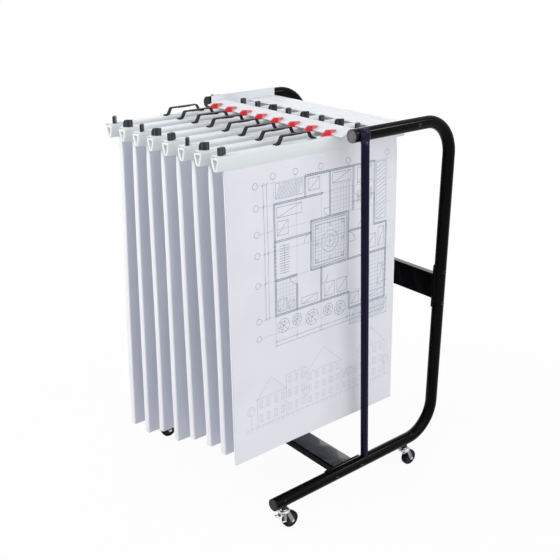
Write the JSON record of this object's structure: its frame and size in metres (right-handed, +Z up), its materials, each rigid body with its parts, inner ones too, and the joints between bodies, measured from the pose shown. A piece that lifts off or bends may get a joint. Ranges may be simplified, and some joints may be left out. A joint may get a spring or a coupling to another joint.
{
  "type": "plan hanging rack",
  "caption": "Wheeled rack of bent tube whose rails carry screw-tightened clamps, each gripping a hanging bundle of large plan sheets.",
  "frame": {"origin": "on the floor, at the middle of the whole rack seen from above", "axes": "+X to the right seen from the open front, +Y towards the uprights at the back, +Z up"},
  "size_m": [0.674, 0.7632, 1.086],
  "materials": {
    "black_paint": "gloss black paint on bent steel tube and folded sheet",
    "strut_paint": "satin blue-black paint on thin steel tube",
    "white_paint": "smooth white powder coat on folded sheet",
    "clamp_white": "white rigid plastic extrusion with fine lengthwise ribs; black strap handle",
    "hook_red": "moulded red plastic",
    "knob_black": "moulded black plastic",
    "paper": "matt drawing paper in bundles",
    "zinc": "bright zinc plate on pressed steel",
    "tyre": "smooth black rubber"
  },
  "bodies": {
    "frame": {"side_frame_left": "black_paint", "side_frame_right": "black_paint", "strut_left": "strut_paint", "strut_right": "strut_paint", "lower_cross_beam": "black_paint", "rear_cross_beam": "black_paint", "hanger_cheek_left": "white_paint", "hanger_cheek_right": "white_paint", "front_rail": "white_paint", "rear_rail": "white_paint"},
    "clamp_1": {"clamp_1_body": "clamp_white", "clamp_1_hook": "hook_red", "clamp_1_sheets": "paper"},
    "thumb_screw_1_front": {"clamp_1_front_screw": "knob_black"},
    "thumb_screw_1_rear": {"clamp_1_rear_screw": "knob_black"},
    "clamp_2": {"clamp_2_body": "clamp_white", "clamp_2_hook": "hook_red", "clamp_2_sheets": "paper"},
    "thumb_screw_2_front": {"clamp_2_front_screw": "knob_black"},
    "thumb_screw_2_rear": {"clamp_2_rear_screw": "knob_black"},
    "clamp_3": {"clamp_3_body": "clamp_white", "clamp_3_hook": "hook_red", "clamp_3_sheets": "paper"},
    "thumb_screw_3_front": {"clamp_3_front_screw": "knob_black"},
    "thumb_screw_3_rear": {"clamp_3_rear_screw": "knob_black"},
    "clamp_4": {"clamp_4_body": "clamp_white", "clamp_4_hook": "hook_red", "clamp_4_sheets": "paper"},
    "thumb_screw_4_front": {"clamp_4_front_screw": "knob_black"},
    "thumb_screw_4_rear": {"clamp_4_rear_screw": "knob_black"},
    "clamp_5": {"clamp_5_body": "clamp_white", "clamp_5_hook": "hook_red", "clamp_5_sheets": "paper"},
    "thumb_screw_5_front": {"clamp_5_front_screw": "knob_black"},
    "thumb_screw_5_rear": {"clamp_5_rear_screw": "knob_black"},
    "clamp_6": {"clamp_6_body": "clamp_white", "clamp_6_hook": "hook_red", "clamp_6_sheets": "paper"},
    "thumb_screw_6_front": {"clamp_6_front_screw": "knob_black"},
    "thumb_screw_6_rear": {"clamp_6_rear_screw": "knob_black"},
    "clamp_7": {"clamp_7_body": "clamp_white", "clamp_7_hook": "hook_red", "clamp_7_sheets": "paper"},
    "thumb_screw_7_front": {"clamp_7_front_screw": "knob_black"},
    "thumb_screw_7_rear": {"clamp_7_rear_screw": "knob_black"},
    "clamp_8": {"clamp_8_body": "clamp_white", "clamp_8_hook": "hook_red", "clamp_8_sheets": "paper"},
    "thumb_screw_8_front": {"clamp_8_front_screw": "knob_black"},
    "thumb_screw_8_rear": {"clamp_8_rear_screw": "knob_black"},
    "caster_front_left_swivel": {"caster_front_left_fork": "zinc"},
    "caster_front_left_roller": {"caster_front_left_wheel": "tyre"},
    "caster_front_left_bail": {"caster_front_left_brake": "zinc"},
    "caster_rear_left_swivel": {"caster_rear_left_fork": "zinc"},
    "caster_rear_left_roller": {"caster_rear_left_wheel": "tyre"},
    "caster_front_right_swivel": {"caster_front_right_fork": "zinc"},
    "caster_front_right_roller": {"caster_front_right_wheel": "tyre"},
    "caster_front_right_bail": {"caster_front_right_brake": "zinc"},
    "caster_rear_right_swivel": {"caster_rear_right_fork": "zinc"},
    "caster_rear_right_roller": {"caster_rear_right_wheel": "tyre"}
  },
  "joints": [
    {"name": "clamp_1_slide", "type": "slide", "parent": "frame", "child": "clamp_1", "axis": [0, -1, 0], "range_m": [0, 0.022]},
    {"name": "thumb_screw_1_front_turn", "type": "hinge", "parent": "clamp_1", "child": "thumb_screw_1_front", "pos_m": [-0.2408, -0.36175, 1.0695], "axis": [0, 0, 1], "range_deg": [0, 450]},
    {"name": "thumb_screw_1_rear_turn", "type": "hinge", "parent": "clamp_1", "child": "thumb_screw_1_rear", "pos_m": [-0.2408, 0.07225, 1.0695], "axis": [0, 0, 1], "range_deg": [0, 450]},
    {"name": "clamp_2_slide", "type": "slide", "parent": "frame", "child": "clamp_2", "axis": [0, -1, 0], "range_m": [0, 0.022]},
    {"name": "thumb_screw_2_front_turn", "type": "hinge", "parent": "clamp_2", "child": "thumb_screw_2_front", "pos_m": [-0.172, -0.36175, 1.0695], "axis": [0, 0, 1], "range_deg": [0, 450]},
    {"name": "thumb_screw_2_rear_turn", "type": "hinge", "parent": "clamp_2", "child": "thumb_screw_2_rear", "pos_m": [-0.172, 0.07225, 1.0695], "axis": [0, 0, 1], "range_deg": [0, 450]},
    {"name": "clamp_3_slide", "type": "slide", "parent": "frame", "child": "clamp_3", "axis": [0, -1, 0], "range_m": [0, 0.022]},
    {"name": "thumb_screw_3_front_turn", "type": "hinge", "parent": "clamp_3", "child": "thumb_screw_3_front", "pos_m": [-0.1032, -0.36175, 1.0695], "axis": [0, 0, 1], "range_deg": [0, 450]},
    {"name": "thumb_screw_3_rear_turn", "type": "hinge", "parent": "clamp_3", "child": "thumb_screw_3_rear", "pos_m": [-0.1032, 0.07225, 1.0695], "axis": [0, 0, 1], "range_deg": [0, 450]},
    {"name": "clamp_4_slide", "type": "slide", "parent": "frame", "child": "clamp_4", "axis": [0, -1, 0], "range_m": [0, 0.022]},
    {"name": "thumb_screw_4_front_turn", "type": "hinge", "parent": "clamp_4", "child": "thumb_screw_4_front", "pos_m": [-0.0344, -0.36175, 1.0695], "axis": [0, 0, 1], "range_deg": [0, 450]},
    {"name": "thumb_screw_4_rear_turn", "type": "hinge", "parent": "clamp_4", "child": "thumb_screw_4_rear", "pos_m": [-0.0344, 0.07225, 1.0695], "axis": [0, 0, 1], "range_deg": [0, 450]},
    {"name": "clamp_5_slide", "type": "slide", "parent": "frame", "child": "clamp_5", "axis": [0, -1, 0], "range_m": [0, 0.022]},
    {"name": "thumb_screw_5_front_turn", "type": "hinge", "parent": "clamp_5", "child": "thumb_screw_5_front", "pos_m": [0.0344, -0.36175, 1.0695], "axis": [0, 0, 1], "range_deg": [0, 450]},
    {"name": "thumb_screw_5_rear_turn", "type": "hinge", "parent": "clamp_5", "child": "thumb_screw_5_rear", "pos_m": [0.0344, 0.07225, 1.0695], "axis": [0, 0, 1], "range_deg": [0, 450]},
    {"name": "clamp_6_slide", "type": "slide", "parent": "frame", "child": "clamp_6", "axis": [0, -1, 0], "range_m": [0, 0.022]},
    {"name": "thumb_screw_6_front_turn", "type": "hinge", "parent": "clamp_6", "child": "thumb_screw_6_front", "pos_m": [0.1032, -0.36175, 1.0695], "axis": [0, 0, 1], "range_deg": [0, 450]},
    {"name": "thumb_screw_6_rear_turn", "type": "hinge", "parent": "clamp_6", "child": "thumb_screw_6_rear", "pos_m": [0.1032, 0.07225, 1.0695], "axis": [0, 0, 1], "range_deg": [0, 450]},
    {"name": "clamp_7_slide", "type": "slide", "parent": "frame", "child": "clamp_7", "axis": [0, -1, 0], "range_m": [0, 0.022]},
    {"name": "thumb_screw_7_front_turn", "type": "hinge", "parent": "clamp_7", "child": "thumb_screw_7_front", "pos_m": [0.172, -0.36175, 1.0695], "axis": [0, 0, 1], "range_deg": [0, 450]},
    {"name": "thumb_screw_7_rear_turn", "type": "hinge", "parent": "clamp_7", "child": "thumb_screw_7_rear", "pos_m": [0.172, 0.07225, 1.0695], "axis": [0, 0, 1], "range_deg": [0, 450]},
    {"name": "clamp_8_slide", "type": "slide", "parent": "frame", "child": "clamp_8", "axis": [0, -1, 0], "range_m": [0, 0.022]},
    {"name": "thumb_screw_8_front_turn", "type": "hinge", "parent": "clamp_8", "child": "thumb_screw_8_front", "pos_m": [0.2408, -0.36175, 1.0695], "axis": [0, 0, 1], "range_deg": [0, 450]},
    {"name": "thumb_screw_8_rear_turn", "type": "hinge", "parent": "clamp_8", "child": "thumb_screw_8_rear", "pos_m": [0.2408, 0.07225, 1.0695], "axis": [0, 0, 1], "range_deg": [0, 450]},
    {"name": "caster_front_left_swivel", "type": "hinge", "parent": "frame", "child": "caster_front_left_swivel", "pos_m": [-0.3065, -0.22975, 0.06], "axis": [0, 0, 1], "continuous": true},
    {"name": "caster_front_left_roll", "type": "hinge", "parent": "caster_front_left_swivel", "child": "caster_front_left_roller", "pos_m": [-0.3065, -0.20775, 0.0238], "axis": [1, 0, 0], "continuous": true},
    {"name": "caster_front_left_brake_press", "type": "hinge", "parent": "caster_front_left_swivel", "child": "caster_front_left_bail", "pos_m": [-0.3065, -0.23375, 0.037], "axis": [1, 0, 0], "range_deg": [0, 35]},
    {"name": "caster_rear_left_swivel", "type": "hinge", "parent": "frame", "child": "caster_rear_left_swivel", "pos_m": [-0.3065, 0.25225, 0.06], "axis": [0, 0, 1], "continuous": true},
    {"name": "caster_rear_left_roll", "type": "hinge", "parent": "caster_rear_left_swivel", "child": "caster_rear_left_roller", "pos_m": [-0.3065, 0.27425, 0.0238], "axis": [1, 0, 0], "continuous": true},
    {"name": "caster_front_right_swivel", "type": "hinge", "parent": "frame", "child": "caster_front_right_swivel", "pos_m": [0.3065, -0.22975, 0.06], "axis": [0, 0, 1], "continuous": true},
    {"name": "caster_front_right_roll", "type": "hinge", "parent": "caster_front_right_swivel", "child": "caster_front_right_roller", "pos_m": [0.3065, -0.20775, 0.0238], "axis": [1, 0, 0], "continuous": true},
    {"name": "caster_front_right_brake_press", "type": "hinge", "parent": "caster_front_right_swivel", "child": "caster_front_right_bail", "pos_m": [0.3065, -0.23375, 0.037], "axis": [1, 0, 0], "range_deg": [0, 35]},
    {"name": "caster_rear_right_swivel", "type": "hinge", "parent": "frame", "child": "caster_rear_right_swivel", "pos_m": [0.3065, 0.25225, 0.06], "axis": [0, 0, 1], "continuous": true},
    {"name": "caster_rear_right_roll", "type": "hinge", "parent": "caster_rear_right_swivel", "child": "caster_rear_right_roller", "pos_m": [0.3065, 0.27425, 0.0238], "axis": [1, 0, 0], "continuous": true}
  ]
}
